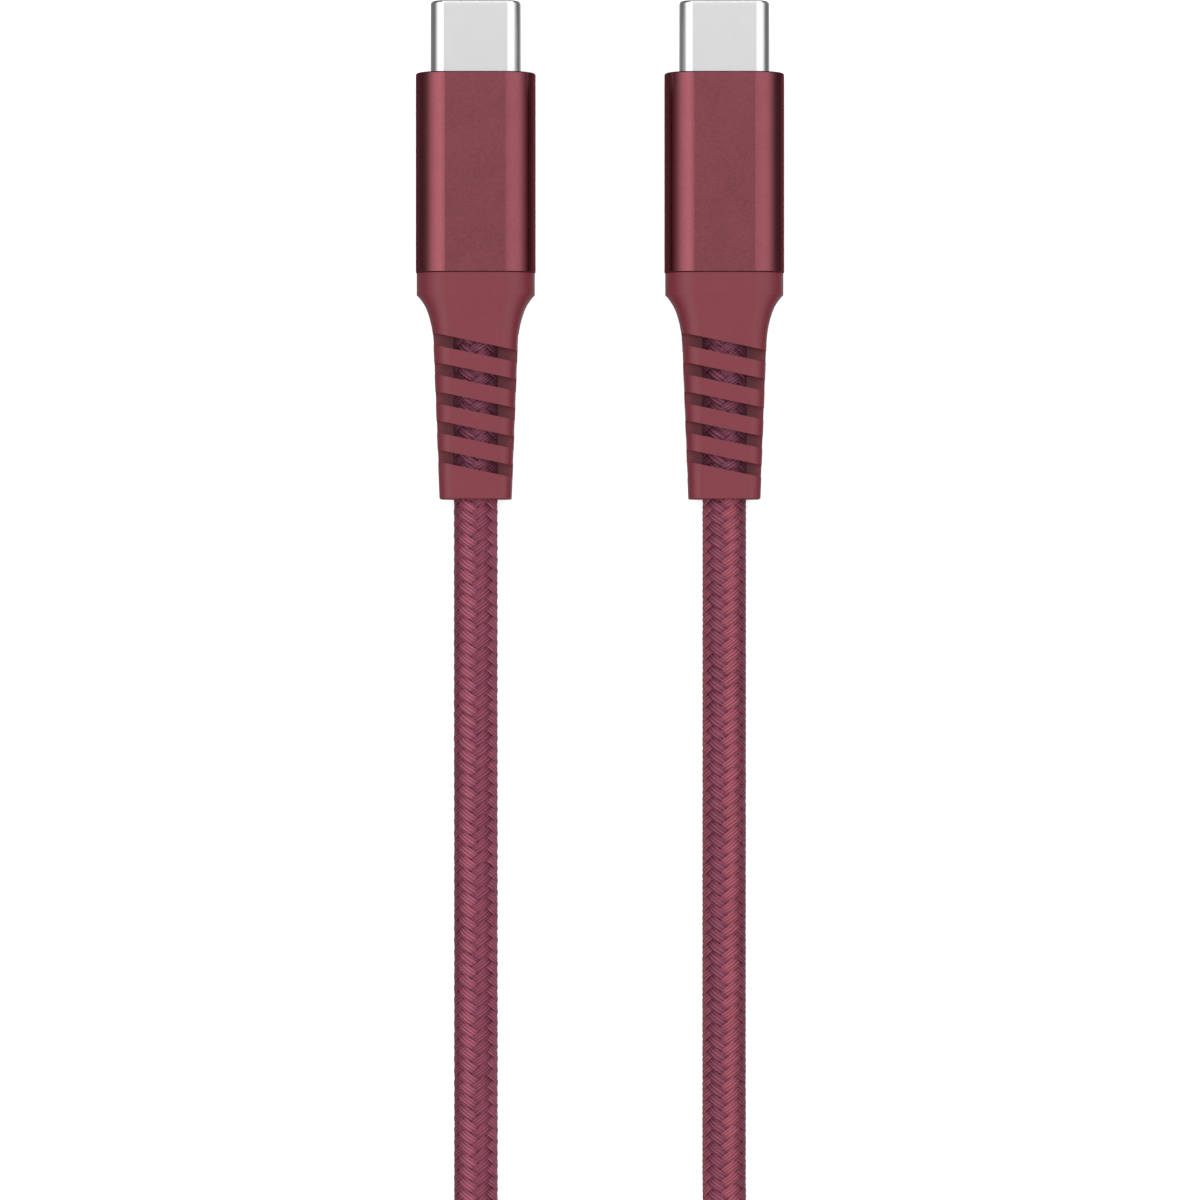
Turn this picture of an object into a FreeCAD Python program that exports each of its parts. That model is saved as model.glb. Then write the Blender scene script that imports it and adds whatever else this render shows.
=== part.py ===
import FreeCAD, Part
import math
import os

# Braided charging cable with the same reversible plug on both ends.
# Millimetres.  The cable lies on z = 0 with both plugs pointing along +Y, side by side.
# The origin is under the middle of the two plugs.  Each plug is drawn about its own axis
# (x = 0, z = 0) and then moved to its place, so both plugs are the same pieces.

os.makedirs("parts", exist_ok=True)
V = FreeCAD.Vector

# ---------------------------------------------------------------- driving sizes

PLUG_SPACING = 22.8          # between the two plug axes
PLUG_OVERALL = 45.7          # from the tip of the shell to the mouth of the strain relief

SHELL_W = 8.25               # standard reversible 24-position plug shell
SHELL_H = 2.40
SHELL_WALL = 0.25
SHELL_SHOWN = 6.65           # stands out of the housing
SHELL_LENGTH = 11.0
SHELL_NOSE = 0.32            # rounding of the front edge

HOUSING_W = 11.0             # anodised sleeve, full-round sides
HOUSING_H = 5.5
HOUSING_WALL = 0.5
HOUSING_LENGTH = 18.35
EDGE_BREAK = 0.10

COLLAR_W = 10.84             # moulded collar behind the sleeve
COLLAR_H = 5.36
COLLAR_LENGTH = 2.0

NECK_R1 = 3.9                # the relief's sides sweep in by two arcs, then taper
NECK_R2 = 9.4
NECK_ANGLES = (47.0, 20.0, 2.28)
EXIT_H = 5.0
NECK_H = 5.12
NECK_CORNER = 1.48
EXIT_CORNER = 1.10

SLOT_COUNT = 5
SLOT_PITCH = 2.645
SLOT_HEIGHT = 1.10
SLOT_SLOPE = 0.21
SLOT_FIRST = 4.33            # from the collar to the near edge of the first slot, on the axis
WEB_HALF = 0.45              # the web between the front and back slots
WEB_INSET = 0.13             # the web stops this far inside the bars

CORD_R = 2.0
JACKET_R = 1.70
FIT = 0.02                   # clearance between pieces that are assembled into each other

CONTACT_PITCH = 0.5
CONTACT_W = 0.25
CONTACT_T = 0.12
CAVITY_W = 6.80
CAVITY_H = 0.84

HANK_OUTER_R = 16.0          # centre line of the outer turns at the ends of the hank
HANK_INNER_R = 12.0
HANK_TOP_Y = -122.0          # centres of the end loops
HANK_RUN = 71.0
HANK_PINCH = 10.0            # how far the tie pulls the runs in
TIE_WIDTH = 10.0
TIE_T = 1.0

# ---------------------------------------------------------------- derived places

TIP_Y = PLUG_OVERALL / 2
HOUSING_FRONT = TIP_Y - SHELL_SHOWN
HOUSING_REAR = HOUSING_FRONT - HOUSING_LENGTH
COLLAR_END = HOUSING_REAR - COLLAR_LENGTH
EXIT_Y = -TIP_Y
RELIEF_LENGTH = COLLAR_END - EXIT_Y
AXIS_Z = HOUSING_H / 2
PLUG_X = PLUG_SPACING / 2

SHELL_REAR = TIP_Y - SHELL_LENGTH
LIP_Y = TIP_Y - SHELL_WALL
INSULATOR_REAR = SHELL_REAR + 0.15
CAVITY_REAR = TIP_Y - 7.6
ARM_ROOT = CAVITY_REAR - 1.2
PCB_FRONT = SHELL_REAR - 0.45
PCB_REAR = PCB_FRONT - 8.8
PCB_HALF = 0.35
JACKET_FRONT = HOUSING_REAR + 3.15
CORD_FRONT = HOUSING_REAR - 0.25
MOULD_REAR = HOUSING_REAR + 2.4
CAN_REAR = HOUSING_REAR + 2.15
CAN_FRONT = HOUSING_FRONT - 1.8
BEZEL_REAR = HOUSING_FRONT - 1.6
BEZEL_FRONT = HOUSING_FRONT - 0.15

# ---------------------------------------------------------------- drawing helpers


def box(x0, x1, y0, y1, z0, z1):
    return Part.makeBox(x1 - x0, y1 - y0, z1 - z0, V(x0, y0, z0))


def rod(radius, y0, y1):
    return Part.makeCylinder(radius, y1 - y0, V(0, y0, 0), V(0, 1, 0))


def rounded_wire(width, height, corner, y, z=0.0):
    """Rounded rectangle across the plug's axis, at y."""
    w = width / 2
    h = height / 2
    k = corner * (1 - math.sqrt(0.5))
    a = w - corner
    b = h - corner
    line = Part.LineSegment

    def p(px, pz):
        return V(px, y, z + pz)

    edges = [line(p(-a, h), p(a, h)), Part.Arc(p(a, h), p(w - k, h - k), p(w, b))]
    edges += [line(p(w, b), p(w, -b)), Part.Arc(p(w, -b), p(w - k, k - h), p(a, -h))]
    edges += [line(p(a, -h), p(-a, -h)), Part.Arc(p(-a, -h), p(k - w, k - h), p(-w, -b))]
    edges += [line(p(-w, -b), p(-w, b)), Part.Arc(p(-w, b), p(k - w, h - k), p(-a, h))]
    return Part.Wire([e.toShape() for e in edges])


def rounded_bar(width, height, corner, y0, y1, z=0.0):
    face = Part.Face(rounded_wire(width, height, corner, y0, z))
    return face.extrude(V(0, y1 - y0, 0))


def stadium(width, height, y0, y1):
    """Bar along Y with flat faces up and down and full-round sides."""
    r = height / 2
    s = width / 2 - r
    top = Part.LineSegment(V(-s, y0, r), V(s, y0, r))
    right = Part.Arc(V(s, y0, r), V(s + r, y0, 0), V(s, y0, -r))
    bottom = Part.LineSegment(V(s, y0, -r), V(-s, y0, -r))
    left = Part.Arc(V(-s, y0, -r), V(-s - r, y0, 0), V(-s, y0, r))
    wire = Part.Wire([e.toShape() for e in (top, right, bottom, left)])
    return Part.Face(wire).extrude(V(0, y1 - y0, 0))


def end_edges(shape, y):
    """Edges that lie in the plane at y."""
    return [e for e in shape.Edges if abs(e.BoundBox.YMin - y) < 1e-4 and abs(e.BoundBox.YMax - y) < 1e-4]


def side_profile(points, x0, x1):
    """Flat piece drawn in the YZ plane and given its width in X."""
    corners = [V(x0, y, z) for y, z in points]
    return Part.Face(Part.makePolygon(corners + corners[:1])).extrude(V(x1 - x0, 0, 0))


def flip(shape):
    """Half a turn about the plug's axis."""
    copy = shape.copy()
    copy.rotate(V(0, 0, 0), V(0, 1, 0), 180)
    return copy


def mirror_z(shape):
    return shape.mirror(V(0, 0, 0), V(0, 0, 1))


def mirror_x(shape):
    return shape.mirror(V(0, 0, 0), V(1, 0, 0))


def rounded_path(points, name):
    """Straight runs joined by tangent arcs, each as large as its two runs allow."""
    pts = [V(*p) for p in points]
    edges = []
    radii = []
    start = pts[0]
    for before, here, after in zip(pts, pts[1:], pts[2:]):
        back = before - here
        on = after - here
        shorter = min(back.Length, on.Length)
        back.normalize()
        on.normalize()
        half_turn = (math.pi - back.getAngle(on)) / 2
        trim = 0.45 * shorter
        radius = trim / math.tan(half_turn)
        radii.append(radius)
        enter = here + back * trim
        leave = here + on * trim
        inward = back + on
        inward.normalize()
        reach = radius / math.cos(half_turn) - radius
        edges.append(Part.LineSegment(start, enter).toShape())
        edges.append(Part.Arc(enter, here + inward * reach, leave).toShape())
        start = leave
    edges.append(Part.LineSegment(start, pts[-1]).toShape())
    if name:
        print(name, "arc radii", [round(r, 1) for r in radii])
    return Part.Wire(edges)


def tube(points, radius, name=""):
    path = rounded_path(points, name)
    first = V(*points[0])
    along = V(*points[1]) - first
    section = Part.Wire([Part.makeCircle(radius, first, along)])
    solid = path.makePipeShell([section], True, True)
    if name:
        expected = math.pi * radius ** 2 * path.Length
        print(name, "length", round(path.Length, 1), "volume / expected", round(solid.Volume / expected, 4))
    return solid


# ---------------------------------------------------------------- connector pieces


def shell():
    """Drawn steel shell: its front edge is rolled in to a lip around the mouth."""
    body = stadium(SHELL_W, SHELL_H, SHELL_REAR, TIP_Y)
    body = body.makeFillet(SHELL_NOSE, end_edges(body, TIP_Y))
    inner = stadium(SHELL_W - 2 * SHELL_WALL, SHELL_H - 2 * SHELL_WALL, SHELL_REAR - 1, LIP_Y)
    mouth = stadium(CAVITY_W + 0.3, CAVITY_H + 0.3, LIP_Y - 1, TIP_Y + 1)
    return body.cut(inner).cut(mouth)


def contact_places(row):
    """X of each contact; the lower row leaves its two middle places empty."""
    empty = (5, 6) if row == "lower" else ()
    return [(i - 5.5) * CONTACT_PITCH for i in range(12) if i not in empty]


def contact_arm(x):
    """Spring arm: slopes towards the tongue, touches it with a bump and turns up at its end."""
    t = CONTACT_T / 2
    line = [(ARM_ROOT + 0.05, 0.60), (TIP_Y - 3.2, 0.47), (TIP_Y - 2.2, 0.36), (TIP_Y - 1.5, 0.50)]
    under = [(y, z - t) for y, z in line]
    over = [(y, z + t) for y, z in reversed(line)]
    return side_profile(under + over, x - CONTACT_W / 2, x + CONTACT_W / 2)


def contact_tail(x):
    """Fixed end of a contact: from the moulding down onto the board."""
    t = CONTACT_T / 2
    low = PCB_HALF
    back = INSULATOR_REAR - 0.1
    under = [(ARM_ROOT, 0.60 - t), (back, 0.60 - t), (back - 0.4, low), (PCB_FRONT - 1.2, low)]
    over = [(PCB_FRONT - 1.2, low + 2 * t), (back - 0.45, low + 2 * t), (back - 0.05, 0.60 + t)]
    over.append((ARM_ROOT, 0.60 + t))
    return side_profile(under + over, x - CONTACT_W / 2, x + CONTACT_W / 2)


def contact_row(piece, row):
    pieces = Part.makeCompound([piece(x) for x in contact_places(row)])
    return mirror_z(pieces) if row == "lower" else pieces


LATCH_T = 0.15
LATCH_IN = 3.38
LATCH_OUT = 3.60
LATCH_ROOT = ARM_ROOT - 0.45
LATCH_LEG = (3.20, 3.60)


def latch_plate():
    """Middle plate between the contact rows, with two legs into notches of the board."""
    plate = box(-LATCH_OUT, LATCH_OUT, INSULATOR_REAR + 0.1, LATCH_ROOT - 0.05, -LATCH_T, LATCH_T)
    leg = box(*LATCH_LEG, PCB_FRONT - 0.8, INSULATOR_REAR + 0.1, -LATCH_T, LATCH_T)
    return plate.fuse([leg, mirror_x(leg)]).removeSplitter()


def latch_arm():
    """Side spring on the +X side, with the bump that clicks into the socket's tongue."""
    tip = TIP_Y - 1.6
    outline = [(LATCH_OUT, LATCH_ROOT), (LATCH_OUT, tip), (LATCH_IN + 0.06, tip)]
    outline += [(LATCH_IN - 0.15, tip - 0.75), (LATCH_IN, tip - 1.5), (LATCH_IN, LATCH_ROOT)]
    corners = [V(x, y, -LATCH_T) for x, y in outline]
    return Part.Face(Part.makePolygon(corners + corners[:1])).extrude(V(0, 0, 2 * LATCH_T))


EMI_PLACES = (-2.0, 0.0, 2.0)
EMI_Z = 0.82
EMI_T = 0.10


def emi_spring():
    """Grounding spring over the cavity, with three short fingers ahead of the contacts."""
    plate = box(-2.8, 2.8, TIP_Y - 3.0, TIP_Y - 0.5, EMI_Z, EMI_Z + EMI_T)
    fingers = [box(x - 0.35, x + 0.35, TIP_Y - 0.62, TIP_Y - 0.5, 0.46, EMI_Z) for x in EMI_PLACES]
    return plate.fuse(fingers).removeSplitter()


def insulator():
    """Black moulding that fills the shell and holds contacts, latch and grounding springs."""
    gap = FIT / 2
    width = SHELL_W - 2 * SHELL_WALL - FIT
    height = SHELL_H - 2 * SHELL_WALL - FIT
    body = stadium(width, height, INSULATOR_REAR, LIP_Y - FIT)
    cuts = [rounded_bar(CAVITY_W, CAVITY_H, 0.2, CAVITY_REAR, TIP_Y)]
    latch_way = box(2.9, LATCH_OUT + 0.15, LATCH_ROOT - 0.1, TIP_Y - 1.3, -LATCH_T - 0.05, LATCH_T + 0.05)
    cuts += [latch_way, mirror_x(latch_way)]
    cuts.append(box(-3.7, 3.7, INSULATOR_REAR, LATCH_ROOT - 0.04, -LATCH_T - gap, LATCH_T + gap))
    for row in ("upper", "lower"):
        for x in contact_places(row):
            groove = box(x - 0.16, x + 0.16, ARM_ROOT, TIP_Y - 1.2, 0.38, 0.74)
            half = CONTACT_W / 2 + gap
            seat = box(x - half, x + half, INSULATOR_REAR - 1, ARM_ROOT + 0.01, 0.53, 0.67)
            cuts += [mirror_z(c) if row == "lower" else c for c in (groove, seat)]
    recess = box(-2.85, 2.85, TIP_Y - 3.05, TIP_Y - 0.45, EMI_Z - gap, 1.2)
    windows = [box(x - 0.4, x + 0.4, TIP_Y - 0.68, TIP_Y - 0.45, 0.38, 1.2) for x in EMI_PLACES]
    for cut in [recess] + windows:
        cuts += [cut, mirror_z(cut)]
    return body.cut(cuts)


def circuit_board():
    board = box(-4.2, 4.2, PCB_REAR, PCB_FRONT, -PCB_HALF, PCB_HALF)
    notch = box(LATCH_LEG[0] - 0.05, LATCH_LEG[1] + 0.05, PCB_FRONT - 0.85, PCB_FRONT + 1, -1, 1)
    return board.cut([notch, mirror_x(notch)])


def marker_chip():
    y = (PCB_FRONT + PCB_REAR) / 2 + 0.4
    body = box(-1.2, 1.2, y - 1.2, y + 1.2, PCB_HALF, PCB_HALF + 0.6)
    return body.makeChamfer(0.08, [e for e in body.Edges if e.BoundBox.ZMin > PCB_HALF + 0.5])


def board_passives():
    """Small resistors and capacitors on both faces of the board."""
    y = (PCB_FRONT + PCB_REAR) / 2
    spots = [(-2.6, y + 1.4), (-2.6, y - 0.2), (2.6, y + 1.4), (2.6, y - 0.2)]
    above = [box(x - 0.5, x + 0.5, v - 0.25, v + 0.25, PCB_HALF, PCB_HALF + 0.4) for x, v in spots]
    below = [mirror_z(piece) for piece in above[:2]]
    return Part.makeCompound(above + below)


# name: radius, place in the jacket (x, z), place on the board (x, side)
WIRES = {
    "wire_power": (0.42, (-0.85, 0.75), (-2.7, 1)),
    "wire_data_plus": (0.30, (0.10, 1.05), (-0.6, 1)),
    "wire_data_minus": (0.30, (0.95, 0.70), (1.4, 1)),
    "wire_ground": (0.42, (0.85, -0.75), (2.7, -1)),
    "wire_config": (0.30, (-0.70, -0.85), (-1.4, -1)),
}


def inner_wire(name, gap=0.0):
    radius, (x0, z0), (x1, side) = WIRES[name]
    z1 = side * (PCB_HALF + radius)
    seat = PCB_REAR + 0.2
    middle = ((x0 + x1) / 2, (JACKET_FRONT + seat) / 2, (z0 + z1) / 2)
    points = [(x0, JACKET_FRONT, z0), (x0, JACKET_FRONT + 0.35, z0), middle]
    points += [(x1, seat, z1), (x1, seat + 1.0, z1)]
    return tube(points, radius + gap)


# ---------------------------------------------------------------- body of the plug


def shield_half(side):
    """Half of the folded steel can around the board; the halves meet at mid-height."""
    width = HOUSING_W - 2 * HOUSING_WALL - 2 * FIT
    height = HOUSING_H - 2 * HOUSING_WALL - 2 * FIT
    wall = 0.2
    can = stadium(width, height, CAN_REAR, CAN_FRONT)
    can = can.cut(stadium(width - 2 * wall, height - 2 * wall, CAN_REAR - 1, CAN_FRONT - wall))
    can = can.cut(stadium(SHELL_W + FIT, SHELL_H + FIT, CAN_FRONT - 1, CAN_FRONT + 1))
    keep = box(-10, 10, CAN_REAR - 1, CAN_FRONT + 1, 0, 10)
    return can.common(keep if side == "upper" else mirror_z(keep))


def inner_mould():
    """Soft block between the jacket's end and the board, around the fanned-out wires."""
    width = HOUSING_W - 2 * HOUSING_WALL - 2 * FIT - 0.44
    height = HOUSING_H - 2 * HOUSING_WALL - 2 * FIT - 0.44
    block = stadium(width, height, MOULD_REAR, PCB_REAR - FIT)
    channels = [inner_wire(name, FIT) for name in WIRES]
    return block.cut([rod(JACKET_R + FIT, MOULD_REAR - 1, JACKET_FRONT + FIT)] + channels)


def ferrule():
    """Crimped ring on the jacket's end."""
    ring = rod(1.95, CORD_FRONT + 0.1, MOULD_REAR - 0.05)
    return ring.cut(rod(JACKET_R + FIT / 2, CORD_FRONT - 1, MOULD_REAR + 1))


def jacket_end():
    """The cord's inner jacket, stripped of its braid."""
    return rod(JACKET_R, CORD_FRONT, JACKET_FRONT)


def cord_end():
    """The braided cord inside the strain relief."""
    return rod(CORD_R, EXIT_Y, CORD_FRONT)


def bezel():
    """Moulded front ring that closes the sleeve around the shell."""
    width = HOUSING_W - 2 * HOUSING_WALL - FIT
    height = HOUSING_H - 2 * HOUSING_WALL - FIT
    ring = stadium(width, height, BEZEL_REAR, BEZEL_FRONT)
    return ring.cut(stadium(SHELL_W + FIT, SHELL_H + FIT, BEZEL_REAR - 1, BEZEL_FRONT + 1))


def housing():
    """Anodised aluminium sleeve."""
    sleeve = stadium(HOUSING_W, HOUSING_H, HOUSING_REAR, HOUSING_FRONT)
    edges = end_edges(sleeve, HOUSING_REAR) + end_edges(sleeve, HOUSING_FRONT)
    sleeve = sleeve.makeChamfer(EDGE_BREAK, edges)
    width = HOUSING_W - 2 * HOUSING_WALL
    height = HOUSING_H - 2 * HOUSING_WALL
    return sleeve.cut(stadium(width, height, HOUSING_REAR - 1, HOUSING_FRONT + 1))


# ---------------------------------------------------------------- strain relief


def neck_arcs():
    """Where the two arcs of the sides end: distance behind the collar, and half width."""
    a0, a1, a2 = [math.radians(a) for a in NECK_ANGLES]
    s1 = NECK_R1 * (math.sin(a0) - math.sin(a1))
    w1 = COLLAR_W / 2 - NECK_R1 * (math.cos(a1) - math.cos(a0))
    s2 = s1 + NECK_R2 * (math.sin(a1) - math.sin(a2))
    w2 = w1 - NECK_R2 * (math.cos(a2) - math.cos(a1))
    return s1, w1, s2, w2


NECK_LENGTH = neck_arcs()[2]


def neck_half_width(s):
    """Half the relief's width at distance s behind the collar."""
    a0, a1, a2 = [math.radians(a) for a in NECK_ANGLES]
    s1, w1, s2, w2 = neck_arcs()
    if s <= s1:
        a = math.asin(math.sin(a0) - s / NECK_R1)
        return COLLAR_W / 2 - NECK_R1 * (math.cos(a) - math.cos(a0))
    if s <= s2:
        a = math.asin(math.sin(a1) - (s - s1) / NECK_R2)
        return w1 - NECK_R2 * (math.cos(a) - math.cos(a1))
    return w2 - (s - s2) * math.tan(a2)


def relief_section(s):
    """The relief's outline at distance s behind the collar: squarer and thinner as it narrows."""
    half = neck_half_width(s)
    swept = min(s / NECK_LENGTH, 1.0)
    taper = max(s - NECK_LENGTH, 0.0) / (RELIEF_LENGTH - NECK_LENGTH)
    height = NECK_H + (COLLAR_H - NECK_H) * (1 - swept) ** 2 + (EXIT_H - NECK_H) * taper
    neck_half = neck_half_width(NECK_LENGTH)
    flare = max(half - neck_half, 0.0) / (COLLAR_W / 2 - neck_half)
    corner = NECK_CORNER + (COLLAR_H / 2 - 0.06 - NECK_CORNER) * flare
    corner += (EXIT_CORNER - NECK_CORNER) * taper
    return rounded_wire(2 * half, height, corner, COLLAR_END - s)


def relief_slot(index):
    """One slanted slot, open to the front face and to both sides, down to the middle web."""
    y0 = COLLAR_END - SLOT_FIRST - index * SLOT_PITCH
    reach = 8.0
    drop = SLOT_SLOPE * reach
    low = y0 - SLOT_HEIGHT
    corners = [(-reach, low + drop), (reach, low - drop), (reach, y0 - drop), (-reach, y0 + drop)]
    corners = [V(x, y, WEB_HALF) for x, y in corners]
    return Part.Face(Part.makePolygon(corners + corners[:1])).extrude(V(0, 0, 8))


def relief_side_cut(index):
    """Trims the web's edge inside each slot, so that the slot just shows in the outline."""
    y = COLLAR_END - SLOT_FIRST - index * SLOT_PITCH - SLOT_HEIGHT / 2
    half = neck_half_width(COLLAR_END - y) - WEB_INSET
    cuts = []
    for side in (-1, 1):
        y_side = y - SLOT_SLOPE * side * half
        x0, x1 = sorted((side * half, side * (half + 2)))
        cuts.append(box(x0, x1, y_side - SLOT_HEIGHT / 2, y_side + SLOT_HEIGHT / 2, 0.0, 8))
    return cuts


def strain_relief():
    """Moulded relief: root inside the sleeve, collar, swept neck, and a slotted tapering tail."""
    steps = 10
    neck = Part.makeLoft([relief_section(NECK_LENGTH * i / steps) for i in range(steps + 1)], True, False)
    tail = Part.makeLoft([relief_section(NECK_LENGTH), relief_section(RELIEF_LENGTH)], True, True)
    tail = tail.makeFillet(0.12, end_edges(tail, EXIT_Y))
    collar = Part.Face(relief_section(0)).extrude(V(0, COLLAR_LENGTH, 0))
    root_w = HOUSING_W - 2 * HOUSING_WALL - FIT
    root_h = HOUSING_H - 2 * HOUSING_WALL - FIT
    root = stadium(root_w, root_h, HOUSING_REAR, HOUSING_REAR + 2.1)
    body = tail.fuse([neck, collar, root])
    cuts = [rod(CORD_R + FIT, EXIT_Y - 1, CORD_FRONT), rod(1.97, CORD_FRONT - 0.1, HOUSING_REAR + 3)]
    for index in range(SLOT_COUNT):
        for cut in [relief_slot(index)] + relief_side_cut(index):
            cuts += [cut, flip(cut)]
    return body.cut(cuts).removeSplitter()


# ---------------------------------------------------------------- cord, hank and tie

# Each lead lies straight behind its plug, sinks to the surface and goes into the hank.
LEAD_A = [
    (-PLUG_X, EXIT_Y, AXIS_Z),
    (-PLUG_X, -40.0, AXIS_Z),
    (-PLUG_X, -62.0, 2.10),
    (-PLUG_X, -80.0, 2.02),
    (-PLUG_X, -95.0, 2.00),
    (-14.6, -108.0, 2.00),
    (-16.0, -122.0, 2.00),
]
LEAD_B = [
    (PLUG_X, EXIT_Y, AXIS_Z),
    (PLUG_X, -40.0, AXIS_Z),
    (PLUG_X, -62.0, 2.10),
    (PLUG_X, -78.0, 2.02),
    (PLUG_X, -91.0, 2.30),
    (12.4, -102.5, 5.60),
    (15.0, -112.0, 6.20),
    (16.0, -122.0, 6.00),
]


def hank_outline(side_x, end_r, z):
    """Closed outline of the hank: round ends, and sides drawn in to side_x at the tie."""
    y_top = HANK_TOP_Y
    y_low = HANK_TOP_Y - HANK_RUN
    y_mid = (y_top + y_low) / 2
    sweep = (HANK_RUN - TIE_WIDTH) / 2
    half_x = (end_r + side_x) / 2
    run = math.hypot(end_r - side_x, sweep)
    radius = run ** 2 / (4 * (end_r - side_x))
    bulge = radius * (1 - math.cos(math.asin(run / 4 / radius)))
    nx = sweep / run * bulge
    ny = (end_r - side_x) / run * bulge

    def p(x, y):
        return V(x, y, z)

    def s_curve(sx, sy):
        """Two arcs from the end loop (0) to the tie (1) on the sx side of the sy end."""
        y_end = y_mid + sy * HANK_RUN / 2
        y_tie = y_mid + sy * TIE_WIDTH / 2
        y_half = (y_end + y_tie) / 2
        q1 = p(sx * ((end_r + half_x) / 2 + nx), (y_end + y_half) / 2 + sy * ny)
        q2 = p(sx * ((half_x + side_x) / 2 - nx), (y_half + y_tie) / 2 - sy * ny)
        out = Part.Arc(p(sx * end_r, y_end), q1, p(sx * half_x, y_half))
        inn = Part.Arc(p(sx * half_x, y_half), q2, p(sx * side_x, y_tie))
        return [out.toShape(), inn.toShape()]

    edges = s_curve(1, 1) + s_curve(-1, 1) + s_curve(1, -1) + s_curve(-1, -1)
    for sx in (-1, 1):
        tie = Part.LineSegment(p(sx * side_x, y_mid + TIE_WIDTH / 2), p(sx * side_x, y_mid - TIE_WIDTH / 2))
        edges.append(tie.toShape())
    edges.append(Part.Arc(p(-end_r, y_top), p(0, y_top + end_r), p(end_r, y_top)).toShape())
    edges.append(Part.Arc(p(-end_r, y_low), p(0, y_low - end_r), p(end_r, y_low)).toShape())
    return Part.Wire(Part.__sortEdges__(edges))


def hank():
    """Outer shape of the wound cord: two turns wide, two turns high, open in the loops."""
    y_mid = HANK_TOP_Y - HANK_RUN / 2
    outer_side = HANK_OUTER_R - HANK_PINCH + CORD_R
    body = Part.Face(hank_outline(outer_side, HANK_OUTER_R + CORD_R, 0)).extrude(V(0, 0, 4 * CORD_R))
    eye_side = HANK_INNER_R - HANK_PINCH - CORD_R + 0.4
    eye = Part.Face(hank_outline(eye_side, HANK_INNER_R - CORD_R, -1)).extrude(V(0, 0, 12))
    gap = box(-30, 30, y_mid - TIE_WIDTH / 2, y_mid + TIE_WIDTH / 2, -1, 12)
    waist = rounded_bar(
        2 * outer_side, 4 * CORD_R, CORD_R, y_mid - TIE_WIDTH / 2, y_mid + TIE_WIDTH / 2, TIE_T + 2 * CORD_R
    )
    return body.cut([eye, gap]).fuse(waist).removeSplitter()


def hank_tie():
    """Hook-and-loop strap around the middle of the hank."""
    y_mid = HANK_TOP_Y - HANK_RUN / 2
    side = HANK_OUTER_R - HANK_PINCH + CORD_R
    z = TIE_T + 2 * CORD_R
    y0 = y_mid - TIE_WIDTH / 2
    y1 = y_mid + TIE_WIDTH / 2
    band = rounded_bar(2 * side + 2 * TIE_T, 4 * CORD_R + 2 * TIE_T, CORD_R + TIE_T, y0, y1, z)
    waist = rounded_bar(2 * side + 2 * FIT, 4 * CORD_R + 2 * FIT, CORD_R + FIT, y0 - 1, y1 + 1, z)
    return band.cut(waist)


# ---------------------------------------------------------------- assembly

PLUG_PIECES = {
    "shell": shell(),
    "insulator": insulator(),
    "contact_arms_upper": contact_row(contact_arm, "upper"),
    "contact_arms_lower": contact_row(contact_arm, "lower"),
    "contact_tails_upper": contact_row(contact_tail, "upper"),
    "contact_tails_lower": contact_row(contact_tail, "lower"),
    "latch_plate": latch_plate(),
    "latch_arm_right": latch_arm(),
    "latch_arm_left": mirror_x(latch_arm()),
    "emi_spring_upper": emi_spring(),
    "emi_spring_lower": mirror_z(emi_spring()),
    "circuit_board": circuit_board(),
    "marker_chip": marker_chip(),
    "board_passives": board_passives(),
    "inner_mould": inner_mould(),
    "shield_upper": shield_half("upper"),
    "shield_lower": shield_half("lower"),
    "ferrule": ferrule(),
    "jacket_end": jacket_end(),
    "cord_end": cord_end(),
    "bezel": bezel(),
    "housing": housing(),
    "strain_relief": strain_relief(),
}
for wire_name in WIRES:
    PLUG_PIECES[wire_name] = inner_wire(wire_name)

NODES = {}
for plug, x in (("a", -PLUG_X), ("b", PLUG_X)):
    for piece_name, piece in PLUG_PIECES.items():
        placed = piece.copy()
        placed.translate(V(x, 0, AXIS_Z))
        NODES[f"{piece_name}_{plug}"] = placed

NODES["cord_hank"] = hank()
NODES["hank_tie"] = hank_tie()
NODES["cord_lead_a"] = tube(LEAD_A, CORD_R, "lead a").cut(NODES["cord_hank"])
NODES["cord_lead_b"] = tube(LEAD_B, CORD_R, "lead b").cut(NODES["cord_hank"])

for node, shape in NODES.items():
    shape.exportStep(f"parts/{node}.step")
    solids = len(shape.Solids)
    print(node, "solids", solids, "volume", round(shape.Volume, 2), "" if shape.isValid() else "INVALID")
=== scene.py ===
import math

import bpy
import numpy as np
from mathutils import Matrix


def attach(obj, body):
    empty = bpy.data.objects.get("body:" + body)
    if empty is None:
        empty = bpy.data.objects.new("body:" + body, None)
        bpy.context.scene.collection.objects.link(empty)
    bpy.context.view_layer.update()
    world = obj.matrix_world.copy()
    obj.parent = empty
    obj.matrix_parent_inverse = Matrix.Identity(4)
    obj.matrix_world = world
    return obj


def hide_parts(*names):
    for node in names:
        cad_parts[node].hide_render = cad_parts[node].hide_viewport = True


# All sizes are in metres.  The origin lies on the surface between the two plugs, which point to +Y.
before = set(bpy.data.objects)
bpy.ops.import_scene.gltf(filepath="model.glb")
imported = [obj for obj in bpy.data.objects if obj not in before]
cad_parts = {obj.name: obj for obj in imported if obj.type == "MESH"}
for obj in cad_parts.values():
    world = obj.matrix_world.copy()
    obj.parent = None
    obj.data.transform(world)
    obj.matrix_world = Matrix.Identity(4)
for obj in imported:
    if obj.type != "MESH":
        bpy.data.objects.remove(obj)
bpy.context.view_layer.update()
scene = bpy.context.scene

MM = 0.001
PLUG_X = 0.0114              # from the middle to each plug's axis
AXIS_Z = 0.00275
EXIT_Y = -0.02285            # where the cord leaves a strain relief
CORD_D = 0.004


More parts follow.
